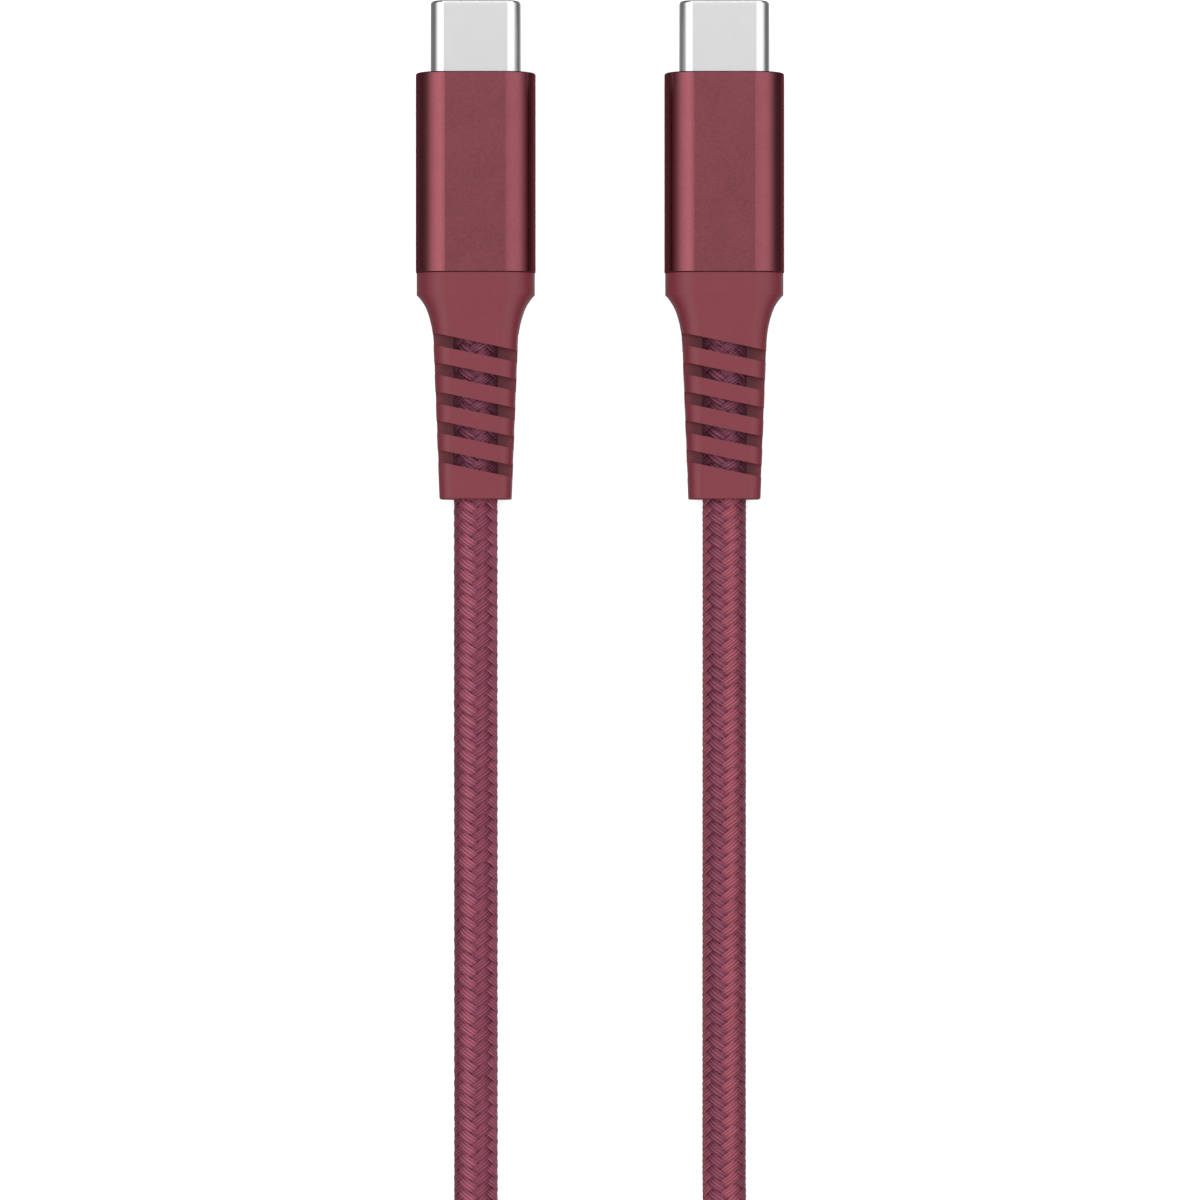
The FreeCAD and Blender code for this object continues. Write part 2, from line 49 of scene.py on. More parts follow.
def add_object(name, data):
    obj = bpy.data.objects.new(name, data)
    scene.collection.objects.link(obj)
    return obj


# ------------------------------------------------------------------ camera
# Looks straight down on the pair of plugs, +Y up in the picture.
camera_data = bpy.data.cameras.new("camera")
camera_data.sensor_width = 36.0
camera_data.lens = 158.6
camera_data.clip_start = 0.01
camera_data.clip_end = 20.0
camera = add_object("camera", camera_data)
camera.location = (0.0, -0.03208, 0.48775)
camera.rotation_euler = (0.0, 0.0, 0.0)
scene.camera = camera

# ------------------------------------------------------------------ cord route
CORD_FRONT = -0.0024         # the braid ends here, inside each plug
OUTER_R = 0.0164             # centre lines of the hank's end loops
INNER_R = OUTER_R - CORD_D
LOW_Z = CORD_D / 2
HIGH_Z = LOW_Z + CORD_D
TOP_Y = -0.122               # centres of the end loops nearer to the plugs
RUN = 0.071                  # from there to the centres of the far end loops
LOW_Y = TOP_Y - RUN
TIE_Y = TOP_Y - RUN / 2
TIE_WIDTH = 0.010
PINCH = 0.010                # how far the tie pulls each run in
LIFT = 0.001                 # how far the runs rise there, over the strap
SWEEP = 0.0265               # length of a run's bend towards the tie
LANE_RISE = 0.003            # how much nearer to the plugs a loop lies when it changes lane
RUN_STEPS = 18
LOOP_DEGREES = range(0, 181, 15)
CLIMB_START = 20.0           # where in a top loop the cord starts its climb to the next layer
CLIMB_DEGREES = 130.0        # how much of the loop the climb takes

# From EXIT_Y to y = -0.095 and -0.091 the leads repeat the points of the CAD tubes.  After that
# they bend into the hank's outer lanes a little more gently than the tubes do.
LEAD_A = [
    (-PLUG_X, CORD_FRONT, AXIS_Z),
    (-PLUG_X, EXIT_Y, AXIS_Z),
    (-PLUG_X, -0.0400, AXIS_Z),
    (-PLUG_X, -0.0620, 0.00210),
    (-PLUG_X, -0.0800, 0.00202),
    (-PLUG_X, -0.0950, 0.00200),
    (-0.0149, -0.1065, 0.00200),
    (-OUTER_R, -0.1150, 0.00200),
    (-OUTER_R, TOP_Y, LOW_Z),
]
LEAD_B = [
    (PLUG_X, CORD_FRONT, AXIS_Z),
    (PLUG_X, EXIT_Y, AXIS_Z),
    (PLUG_X, -0.0400, AXIS_Z),
    (PLUG_X, -0.0620, 0.00210),
    (PLUG_X, -0.0780, 0.00202),
    (PLUG_X, -0.0910, 0.00230),
    (0.0126, -0.1025, 0.00560),
    (0.0156, -0.1115, 0.00620),
    (OUTER_R, -0.1180, 0.00610),
    (OUTER_R, TOP_Y, HIGH_Z),
]
# radius and height of each turn of the hank
TURNS = [(OUTER_R, LOW_Z), (INNER_R, LOW_Z), (INNER_R, HIGH_Z), (OUTER_R, HIGH_Z)]


def ease(a, b, t):
    """From a to b while t goes from 0 to 1, level at both ends."""
    return a + (b - a) * (0.5 - 0.5 * math.cos(math.pi * min(max(t, 0.0), 1.0)))


def run_point(side, r, y, z):
    """A point of a run; the runs draw together under the tie and stay a cord apart."""
    off_tie = abs(y - TIE_Y) - TIE_WIDTH / 2
    t = min(max(off_tie / SWEEP, 0.0), 1.0)
    pinch = ease(1.0, 0.0, t)
    slope = PINCH * math.pi / 2 / SWEEP * math.sin(math.pi * t)
    lane = INNER_R + (r - INNER_R) * math.hypot(1.0, slope)
    return side * (lane - PINCH * pinch), y, z + LIFT * pinch


def run_points(side, r, z, y_from, y_to):
    """A run between two end loops, without its end points."""
    step = (y_to - y_from) / RUN_STEPS
    return [run_point(side, r, y_from + step * i, z) for i in range(1, RUN_STEPS)]


def low_loop(r, z):
    """Half a turn round the far end, from -X to +X."""
    points = []
    for deg in LOOP_DEGREES:
        a = math.radians(deg)
        points.append((-r * math.cos(a), LOW_Y - r * math.sin(a), z))
    return points


def top_loop(r, z, next_r, next_z):
    """Half a turn from +X to -X that ends in the next turn's lane and layer."""
    changes_lane = next_r != r
    radius = (r + next_r) / 2
    middle_x = (r - next_r) / 2
    middle_y = TOP_Y + (LANE_RISE if changes_lane else 0.0)
    points = []
    for deg in LOOP_DEGREES:
        a = math.radians(deg)
        height = ease(z, next_z, (deg - CLIMB_START) / CLIMB_DEGREES)
        points.append((middle_x + radius * math.cos(a), middle_y + radius * math.sin(a), height))
    if changes_lane:
        points = [(r, TOP_Y, z)] + points + [(-next_r, TOP_Y, next_z)]
    return points


def hank_points():
    """The turns one after the other: down the -X side, round, up the +X side and over."""
    points = []
    for k, (r, z) in enumerate(TURNS):
        points += run_points(-1, r, z, TOP_Y, LOW_Y)
        points += low_loop(r, z)
        points += run_points(1, r, z, LOW_Y, TOP_Y)
        if k + 1 < len(TURNS):
            points += top_loop(r, z, *TURNS[k + 1])
    return points


def nurbs_curve(name, points):
    data = bpy.data.curves.new(name, "CURVE")
    data.dimensions = "3D"
    data.resolution_u = 16
    data.twist_mode = "MINIMUM"
    spline = data.splines.new("NURBS")
    spline.points.add(len(points) - 1)
    for point, position in zip(spline.points, points):
        point.co = (*position, 1.0)
    spline.order_u = 3
    spline.use_endpoint_u = True
    return add_object(name, data)


def curve_line(curve):
    """The points of the curve's own line, read before the curve is given its thickness."""
    bpy.context.view_layer.update()
    graph = bpy.context.evaluated_depsgraph_get()
    mesh = bpy.data.meshes.new_from_object(curve.evaluated_get(graph))
    points = np.array([v.co for v in mesh.vertices], float)
    bpy.data.meshes.remove(mesh)
    steps = np.linalg.norm(np.diff(points, axis=0), axis=1)
    return points[np.concatenate([[True], steps > 1e-7])]


route = LEAD_A + hank_points() + LEAD_B[::-1]
core = nurbs_curve("cord_core", route)
line = curve_line(core)
arc = np.concatenate([[0.0], np.cumsum(np.linalg.norm(np.diff(line, axis=0), axis=1))])
LENGTH = float(arc[-1])

CORE_R = 1.50 * MM           # the jacket under the braid
core.data.bevel_depth = CORE_R
core.data.bevel_resolution = 5
core.data.use_fill_caps = True


def unit(v):
    return v / np.linalg.norm(v, axis=-1, keepdims=True)


def mirrored(v, axis):
    """v mirrored in the plane that stands across axis."""
    return v - axis * (2 / (axis @ axis)) * (axis @ v)


def frames_along(points):
    """Tangents and normals that turn as little as possible, the first normal upwards."""
    tangent = unit(np.gradient(points, axis=0))
    normal = np.zeros_like(points)
    up = np.array([0.0, 0.0, 1.0])
    normal[0] = unit(up - tangent[0] * (up @ tangent[0]))
    for i in range(len(points) - 1):
        step = points[i + 1] - points[i]
        turned = mirrored(normal[i], step)
        rest = tangent[i + 1] - mirrored(tangent[i], step)
        if rest @ rest > 1e-18:
            turned = mirrored(turned, rest)
        normal[i + 1] = unit(turned - tangent[i + 1] * (turned @ tangent[i + 1]))
    return tangent, normal


TANGENT, NORMAL = frames_along(line)
SIDE = np.cross(TANGENT, NORMAL)

# ------------------------------------------------------------------ braid
LAY = 8.73 * MM              # length over which a yarn goes once round
CARRIERS = 8                 # yarns each way
STEP_DEG = 360.0 / CARRIERS
YARN_W = 1.00 * MM
YARN_T = 0.20 * MM
MID_R = 1.825 * MM           # radius halfway between a yarn's highest and lowest places
WAVE = 0.120 * MM            # how far it lies above or below that
SURFACE_R = CORD_D / 2
YARN_FROM_AXIS = math.atan(2 * math.pi * SURFACE_R / LAY)
WAVE_FLATNESS = 1.5
WANDER_DEG = 2.6             # slow unevenness of the crossings along a yarn, and its wavelength
WANDER_LENGTH = 13.1 * MM
WANDER_PHASE = 6.0           # how differently it starts from yarn to yarn, in radians
YARN_OFFSET_DEG = 1.5        # how unevenly the yarns lie from one to the next
SEED = 7

# distances along the cord from either of its ends, where one piece of braid meets the next
BRAID_FRONT = 0.6 * MM
IN_RELIEF = 19.2 * MM        # just inside the strain relief's mouth
LEAD_END = 119.5 * MM        # in the hank
RELIEF_SWELL = 0.08 * MM     # added to the radius, so that the braid meets the relief's bore

# Each family lies on top in fixed columns.  On both leads the two middle columns meet MEET_DEG
# to the left of the top, and the columns turn along the hidden hank by what that leaves.
MEET_DEG = 2.0
COLUMN_REPEAT = 2 * STEP_DEG
UNDER_DEG = 90.0             # the second family's shift: it lies under where the first lies over
roll_b = math.degrees(math.atan2(SIDE[-1][2], NORMAL[-1][2]))
column_a = MEET_DEG - STEP_DEG / 2
column_b = STEP_DEG / 2 - MEET_DEG + roll_b
COLUMN_TURN = (column_b - column_a + COLUMN_REPEAT / 2) % COLUMN_REPEAT - COLUMN_REPEAT / 2


def column_at(s):
    """Where the first column lies at distance s along the cord, in degrees from the normal."""
    t = np.clip((s - LEAD_END) / (LENGTH - 2 * LEAD_END), 0.0, 1.0)
    return column_a + COLUMN_TURN * t


def along_line(field, s):
    return np.stack([np.interp(s, arc, field[:, k]) for k in range(3)], -1)


def place(s, psi, radius):
    """Points at distance s along the cord, psi degrees round it and radius from its line."""
    a = np.radians(psi)[..., None]
    out = unit(along_line(NORMAL, s)) * np.cos(a) + unit(along_line(SIDE, s)) * np.sin(a)
    return along_line(line, s) + out * radius[..., None]


def over_wave(phase):
    """+1 where a yarn lies over two crossing yarns, -1 where it lies under two."""
    return np.tanh(WAVE_FLATNESS * np.cos(np.radians(2.0 * phase))) / math.tanh(WAVE_FLATNESS)


def flattened(wave, power):
    return np.sign(wave) * np.abs(wave) ** power


def yarn_section(corners):
    """A yarn's flat oval section: place across and height, each from -1 to 1."""
    beta = np.linspace(0.0, 2 * math.pi, corners, endpoint=False) + math.pi / corners
    return flattened(np.cos(beta), 0.65), flattened(np.sin(beta), 0.9)


def yarn_points(family, yarn, s, section, rng, swell):
    """Points of one yarn, ring by ring, and its lift at each of them."""
    across, rise = section
    offset, phase, _ = rng.normal(0.0, 1.0, 3)
    stations = s[:, None]
    column = column_at(stations)
    v = across[None, :] * YARN_W / 2
    along = stations - family * v * math.sin(YARN_FROM_AXIS)
    centre = family * 360.0 * stations / LAY + STEP_DEG * yarn + column + STEP_DEG / 4
    psi = centre + np.degrees(v * math.cos(YARN_FROM_AXIS) / SURFACE_R)
    crossing = psi + family * 360.0 * along / LAY
    middle = column - STEP_DEG / 4 - STEP_DEG * yarn + (UNDER_DEG if family < 0 else 0.0)
    slow_wave = np.sin(2 * math.pi * stations / WANDER_LENGTH + phase * WANDER_PHASE)
    lift = over_wave(crossing - middle + offset * YARN_OFFSET_DEG + WANDER_DEG * slow_wave)
    radius = MID_R + swell + WAVE * lift + rise[None, :] * YARN_T / 2
    return place(along, psi, radius).reshape(-1, 3), lift.ravel()


def yarn_faces(s, across, inside_out):
    """Quads along a yarn, the UV of their corners in millimetres, and the two end faces."""
    rings, corners = len(s), len(across)
    i = np.arange(rings - 1)[:, None]
    j = np.arange(corners)[None, :]
    k = (j + 1) % corners
    quads = np.stack([
        i * corners + j, i * corners + k, (i + 1) * corners + k, (i + 1) * corners + j,
    ], -1).reshape(-1, 4)
    u, w = s / MM, across * YARN_W / 2 / MM
    quad_corners = [(u[i], w[j]), (u[i], w[k]), (u[i + 1], w[k]), (u[i + 1], w[j])]
    uv = np.stack([np.stack(np.broadcast_arrays(*corner), -1) for corner in quad_corners], 2)
    uv = uv.reshape(-1, 4, 2)
    ring = np.arange(corners)
    ends = [ring[::-1], (rings - 1) * corners + ring]
    if inside_out:
        return quads[:, ::-1], uv[:, ::-1], [end[::-1] for end in ends]
    return quads, uv, ends


def smooth_mesh(name, verts, quads, ends, uv, attributes):
    """A smooth mesh of quads followed by end faces, with UVs on the quads and point attributes."""
    mesh = bpy.data.meshes.new(name)
    loops = np.concatenate([quads.ravel()] + ends)
    sizes = np.array([4] * len(quads) + [len(end) for end in ends])
    starts = np.cumsum(sizes) - sizes
    mesh.vertices.add(len(verts))
    mesh.vertices.foreach_set("co", verts.astype(np.float32).ravel())
    mesh.loops.add(len(loops))
    mesh.loops.foreach_set("vertex_index", loops.astype(np.int32))
    mesh.polygons.add(len(starts))
    mesh.polygons.foreach_set("loop_start", starts.astype(np.int32))
    mesh.update(calc_edges=True)
    mesh.polygons.foreach_set("use_smooth", np.ones(len(starts), bool))
    corner_uv = np.zeros((len(loops), 2), np.float32)
    corner_uv[:len(quads) * 4] = uv.reshape(-1, 2)
    mesh.uv_layers.new(name="UVMap").data.foreach_set("uv", corner_uv.ravel())
    for attribute, values in attributes.items():
        layer = mesh.attributes.new(attribute, "FLOAT", "POINT")
        layer.data.foreach_set("value", values.astype(np.float32))
    mesh.validate()
    return mesh


def braid_piece(name, s0, s1, rings_per_turn, corners, swell=0.0):
    """Interlaced yarns between two places along the cord, each a closed ribbon."""
    rng = np.random.default_rng(SEED)
    rings = max(2, int(round((s1 - s0) / LAY * rings_per_turn)) + 1)
    s = np.linspace(s0, s1, rings)
    section = yarn_section(corners)
    verts, families, lifts, uvs, faces, ends = [], [], [], [], [], []
    for family in (1, -1):
        quads, uv, yarn_ends = yarn_faces(s, section[0], family > 0)
        for yarn in range(CARRIERS):
            first = len(verts) * rings * corners
            points, lift = yarn_points(family, yarn, s, section, rng, swell)
            verts.append(points)
            lifts.append(lift)
            families.append(np.full(len(points), float(family)))
            faces.append(quads + first)
            ends += [end + first for end in yarn_ends]
            uvs.append(uv)
    attributes = {"family": np.concatenate(families), "lift": np.concatenate(lifts)}
    mesh = smooth_mesh(
        name, np.concatenate(verts), np.concatenate(faces), ends, np.concatenate(uvs), attributes)
    return add_object(name, mesh)


# the leads and plugs are seen from near, the hank is not
NEAR = {"rings_per_turn": 44, "corners": 8}
FAR = {"rings_per_turn": 20, "corners": 6}
HANK_PIECES = 5

braid_lead_a = braid_piece("braid_lead_a", IN_RELIEF, LEAD_END, **NEAR)
braid_lead_b = braid_piece("braid_lead_b", LENGTH - LEAD_END, LENGTH - IN_RELIEF, **NEAR)
braid_plug_a = braid_piece("braid_plug_a", BRAID_FRONT, IN_RELIEF, swell=RELIEF_SWELL, **NEAR)
braid_plug_b = braid_piece(
    "braid_plug_b", LENGTH - IN_RELIEF, LENGTH - BRAID_FRONT, swell=RELIEF_SWELL, **NEAR)
cuts = np.linspace(LEAD_END, LENGTH - LEAD_END, HANK_PIECES + 1)
braid_hank = [
    braid_piece(f"braid_hank_{k + 1}", cuts[k], cuts[k + 1], **FAR) for k in range(HANK_PIECES)
]
braid = [braid_lead_a, braid_lead_b, braid_plug_a, braid_plug_b] + braid_hank

# ------------------------------------------------------------------ tie
STRAP_T = 0.46 * MM
STRAP_GAP = 0.04 * MM        # between the strap and what it lies on
STRAP_HALF_W = TIE_WIDTH / 2 - 0.1 * MM
STRAP_STEP = 0.5 * MM        # shortest step between two places along its flat sides
STRAP_START = 0.40           # where it starts, in turns from its +X side
STRAP_TURNS = 1.33
LAP_START = 0.93             # where it climbs over its own end, in turns, and how fast
LAP_CLIMB = 0.06


def rounded_outline(half_w, half_h, corner_r, corner_steps=6):
    """Points of a rounded rectangle in XZ, anticlockwise from its +X side."""
    points = []
    for quarter, (sx, sz) in enumerate([(1, 1), (-1, 1), (-1, -1), (1, -1)]):
        for i in range(corner_steps + 1):
            a = math.radians(90.0 * (quarter + i / corner_steps))
            x = sx * (half_w - corner_r) + corner_r * math.cos(a)
            points.append((x, sz * (half_h - corner_r) + corner_r * math.sin(a)))
    return points


def divided(outline, step):
    """The closed outline with its longer sides cut into equal parts of at least one step."""
    points = []
    for a, b in zip(outline, outline[1:] + outline[:1]):
        a, b = np.array(a), np.array(b)
        parts = max(1, int(np.linalg.norm(b - a) / step + 1e-6))
        points += [a + (b - a) * i / parts for i in range(parts)]
    return np.array(points)


def strap_path():
    """Places along the strap's inner face round the hank, and the outward direction at each."""
    half_w = OUTER_R - PINCH + CORD_D / 2 + STRAP_GAP
    half_h = CORD_D + STRAP_GAP
    around = divided(rounded_outline(half_w, half_h, CORD_D / 2 + STRAP_GAP), STRAP_STEP)
    count = len(around)
    tangent = unit(np.roll(around, -1, 0) - np.roll(around, 1, 0))
    outward = np.stack([tangent[:, 1], -tangent[:, 0]], -1)
    start = int(count * STRAP_START)
    rows = []
    for i in range(int(count * STRAP_TURNS) + 1):
        j = (start + i) % count
        lap = ease(0.0, STRAP_T + STRAP_GAP, (i / count - LAP_START) / LAP_CLIMB)
        rows.append((around[j] + outward[j] * lap, outward[j]))
    return rows


def strap_section():
    """The strap's section, as (across, thickness) pairs: soft edges and raised selvedges."""
    chamfer, edge, selvedge, dip = 0.10 * MM, 0.12 * MM, 0.70 * MM, 0.05 * MM
    crown = 0.25 * MM
    half = [
        (STRAP_HALF_W - edge, 0.0),
        (STRAP_HALF_W, chamfer),
        (STRAP_HALF_W, STRAP_T - chamfer),
        (STRAP_HALF_W - crown, STRAP_T),
        (STRAP_HALF_W - selvedge, STRAP_T - dip),
    ]
    other_half = [(-across, t) for across, t in reversed(half)]
    return half + [(0.0, STRAP_T - dip)] + other_half


def tie_strap():
    """A strap that goes round the hank about one and a third times, over itself."""
    rows = strap_path()
    section = strap_section()
    corners = len(section)
    centre_z = LIFT + CORD_D
    verts, faces = [], []
    for inner, out in rows:
        for across, t in section:
            x, z = inner + out * t
            verts.append((x, TIE_Y + across, centre_z + z))
    for i in range(len(rows) - 1):
        for j in range(corners):
            k = (j + 1) % corners
            near, far = i * corners, (i + 1) * corners
            faces.append((near + j, far + j, far + k, near + k))
    faces.append(tuple(range(corners)))
    faces.append(tuple(reversed(range((len(rows) - 1) * corners, len(rows) * corners))))
    mesh = bpy.data.meshes.new("tie_strap")
    mesh.from_pydata(verts, [], faces)
    mesh.update()
    mesh.polygons.foreach_set("use_smooth", np.ones(len(mesh.polygons), bool))
    lengths = [np.linalg.norm(q - p) for (p, _), (q, _) in zip(rows, rows[1:])]
    along = np.concatenate([[0.0], np.cumsum(lengths)])
    uv = mesh.uv_layers.new(name="UVMap").data
    for face in mesh.polygons:
        for loop, vertex in zip(face.loop_indices, face.vertices):
            uv[loop].uv = (along[vertex // corners] / MM, verts[vertex][1] / MM)
    return add_object("tie_strap", mesh)


strap = tie_strap()

# ------------------------------------------------------------------ materials


class Nodes:
    """A material with a Principled shader, and short calls that add what feeds it."""

    def __init__(self, name, **sockets):
        self.mat = bpy.data.materials.new(name)
        self.mat.use_nodes = True
        self.tree = self.mat.node_tree
        self.bsdf = self.tree.nodes["Principled BSDF"]
        for key, value in sockets.items():
            self.bsdf.inputs[key.replace("_", " ")].default_value = value

    def add(self, kind, **settings):
        node = self.tree.nodes.new(kind)
        for key, value in settings.items():
            setattr(node, key, value)
        return node

    def link(self, a, b):
        self.tree.links.new(a, b)

    def set(self, socket, source):
        self.link(source, self.bsdf.inputs[socket])

    def coords(self, kind="Object"):
        return self.add("ShaderNodeTexCoord").outputs[kind]

    def attribute(self, name):
        return self.add("ShaderNodeAttribute", attribute_name=name).outputs["Fac"]

    def stretched(self, source, scale):
        node = self.add("ShaderNodeMapping")
        node.inputs["Scale"].default_value = scale
        self.link(source, node.inputs["Vector"])
        return node.outputs["Vector"]

    def noise(self, source, scale, detail=2.0, rough=0.5):
        node = self.add("ShaderNodeTexNoise")
        node.inputs["Scale"].default_value = scale
        node.inputs["Detail"].default_value = detail
        node.inputs["Roughness"].default_value = rough
        self.link(source, node.inputs["Vector"])
        return node.outputs["Fac"]

    def bands(self, source, direction, scale, distortion, detail=2.0, detail_scale=1.0):
        node = self.add("ShaderNodeTexWave", wave_type="BANDS", bands_direction=direction)
        node.inputs["Scale"].default_value = scale
        node.inputs["Distortion"].default_value = distortion
        node.inputs["Detail"].default_value = detail
        node.inputs["Detail Scale"].default_value = detail_scale
        self.link(source, node.inputs["Vector"])
        return node.outputs["Fac"]

    def ramp(self, source, low, high, lo_pos=0.3, hi_pos=0.7):
        node = self.add("ShaderNodeValToRGB")
        for element, position, colour in zip(node.color_ramp.elements, (lo_pos, hi_pos), (low, high)):
            element.position = position
            element.color = (*colour, 1.0)
        self.link(source, node.inputs["Fac"])
        return node.outputs["Color"]

    def scaled(self, source, low, high, from_low=0.3, from_high=0.7):
        node = self.add("ShaderNodeMapRange")
        node.inputs["From Min"].default_value = from_low
        node.inputs["From Max"].default_value = from_high
        node.inputs["To Min"].default_value = low
        node.inputs["To Max"].default_value = high
        self.link(source, node.inputs["Value"])
        return node.outputs["Result"]

    def math(self, operation, a, b):
        node = self.add("ShaderNodeMath", operation=operation)
        for socket, value in zip(node.inputs, (a, b)):
            if isinstance(value, (int, float)):
                socket.default_value = value
            else:
                self.link(value, socket)
        return node.outputs[0]

    def weighted(self, *parts):
        """Sum of (source, weight) pairs."""
        total = self.math("MULTIPLY", *parts[0])
        for source, weight in parts[1:]:
            total = self.math("ADD", total, self.math("MULTIPLY", source, weight))
        return total

    def mix(self, blend, factor, a, b):
        node = self.add("ShaderNodeMix", data_type="RGBA", blend_type=blend)
        if isinstance(factor, (int, float)):
            node.inputs["Factor"].default_value = factor
        else:
            self.link(factor, node.inputs["Factor"])
        self.link(a, node.inputs["A"])
        self.link(b, node.inputs["B"])
        return node.outputs["Result"]

    def bump(self, height, strength, distance, under=None):
        node = self.add("ShaderNodeBump")
        node.inputs["Strength"].default_value = strength
        node.inputs["Distance"].default_value = distance
        self.link(height, node.inputs["Height"])
        if under is not None:
            self.link(under, node.inputs["Normal"])
        return node.outputs["Normal"]


def scaled_colour(colour, k):
    return tuple(min(c * k, 1.0) for c in colour)


def grainy(name, colour, roughness, metallic=0.0, grain=0.00018, contrast=0.06, bump=0.25,
           height=0.00001, spread=0.05, **sockets):
    """Fine even grain in colour, gloss and relief: blasted, moulded, plated and drawn surfaces."""
    m = Nodes(name, Metallic=metallic, Roughness=roughness, **sockets)
    fine = m.noise(m.coords(), 1 / grain, 3.0, 0.6)
    broad = m.noise(m.coords(), 1 / (grain * 14), 2.0)
    both = m.weighted((fine, 0.7), (broad, 0.3))
    dark, light = scaled_colour(colour, 1 - contrast), scaled_colour(colour, 1 + contrast)
    m.set("Base Color", m.ramp(both, dark, light))
    m.set("Roughness", m.scaled(both, roughness - spread, roughness + spread))
    m.set("Normal", m.bump(fine, bump, height))
    return m.mat


def braid_material(name, first, second, roughness=0.42):
    """Yarn of parallel ends: grooves between them, tinted gloss, melange colour, and painted shade in
    the grooves and where the yarns dip under.

    first and second are the colours of the two families of yarn; on the leads one family is given a
    lighter colour as a painted sheen highlight.
    """
    dark, light = 0.42, 1.42
    m = Nodes(name, Roughness=roughness, Specular_IOR_Level=0.75, Specular_Tint=(1.0, 0.42, 0.52, 1.0))
    uv = m.coords("UV")
    ends = m.bands(m.stretched(uv, (0.35, 1.0, 1.0)), "Y", 1.10, 1.8, 2.0, 1.3)
    fuzz = m.noise(m.stretched(uv, (1.2, 22.0, 1.0)), 1.0, 2.0, 0.6)
    melange = m.noise(m.coords(), 1300.0, 2.0)
    patches = m.noise(m.coords(), 420.0, 2.0)
    # painted shade: the ends bands darken the colour in the grooves between a yarn's ends, where shade
    # falls; fuzz, melange and patches are the yarn's own uneven colour
    painted_groove_darkening_and_melange = m.weighted((ends, 0.40), (fuzz, 0.25), (melange, 0.15), (patches, 0.20))
    tones = [
        m.ramp(painted_groove_darkening_and_melange, scaled_colour(colour, dark), scaled_colour(colour, light), 0.25, 0.75)
        for colour in (second, first)
    ]
    is_first = m.scaled(m.attribute("family"), 0.0, 1.0, -1.0, 1.0)
    # painted shade: the colour is darkened to about half where a yarn dives under the crossing yarns,
    # standing in for the shade that falls in the dips of the weave
    depth = m.scaled(m.attribute("lift"), 0.0, 1.0, -0.15, 0.95)
    painted_dip_darkening = m.ramp(depth, (0.50, 0.48, 0.47), (1.0, 1.0, 1.0), 0.0, 1.0)
    m.set("Base Color", m.mix("MULTIPLY", 1.0, m.mix("MIX", is_first, *tones), painted_dip_darkening))
    m.set("Normal", m.bump(ends, 0.8, 0.00006, m.bump(fuzz, 0.35, 0.00002)))
    return m.mat


def strap_material():
    """Dark woven tape: ribs across it, threads along it, and fuzz."""
    m = Nodes("woven_strap", Roughness=0.8, Sheen_Weight=0.3, Sheen_Roughness=0.5)
    uv = m.coords("UV")
    ribs = m.bands(uv, "X", 0.9, 0.6, detail_scale=3.0)
    threads = m.bands(uv, "Y", 0.7, 0.8)
    weave = m.math("MULTIPLY", ribs, threads)
    fuzz = m.noise(m.coords(), 5000.0, 3.0)
    tone = m.weighted((weave, 0.6), (fuzz, 0.5))
    m.set("Base Color", m.ramp(tone, (0.020, 0.008, 0.012), (0.085, 0.026, 0.036), 0.1, 0.9))
    m.set("Normal", m.bump(weave, 0.8, 0.00012, m.bump(fuzz, 0.4, 0.00004)))
    return m.mat


YARN = (0.222, 0.047, 0.082)
# painted shade: the braid inside the strain relief gets a darker yarn colour, standing in for the shade
# that the relief's walls cast on it
PAINTED_SHADE_PLUG_YARN = (0.150, 0.040, 0.072)
mat_core = grainy("under_jacket", (0.035, 0.012, 0.018), 0.7, grain=0.0004)
mat_hank = braid_material("braid_hank", YARN, YARN)
mat_plug_painted_shade = braid_material("braid_in_relief_painted_shade", PAINTED_SHADE_PLUG_YARN, PAINTED_SHADE_PLUG_YARN, 0.5)
# painted highlight: one family of yarn on each lead is made lighter, the second on lead A and the first
# on lead B, to stand in for the sheen highlight that the lights put on those yarns; both families are
# one yarn colour
mat_lead_a_painted_sheen = braid_material("braid_a_painted_sheen", (0.186, 0.037, 0.068), (0.290, 0.070, 0.110))
mat_lead_b_painted_sheen = braid_material("braid_b_painted_sheen", (0.284, 0.063, 0.092), (0.186, 0.043, 0.076))

core.data.materials.append(mat_core)
strap.data.materials.append(strap_material())
for piece, finish in zip(braid, [mat_lead_a_painted_sheen, mat_lead_b_painted_sheen, mat_plug_painted_shade, mat_plug_painted_shade] + [mat_hank] * HANK_PIECES):
    piece.data.materials.append(finish)

STEEL = (0.735, 0.735, 0.74)
ANODISED = (0.232, 0.067, 0.082)
RELIEF = (0.182, 0.0285, 0.0410)
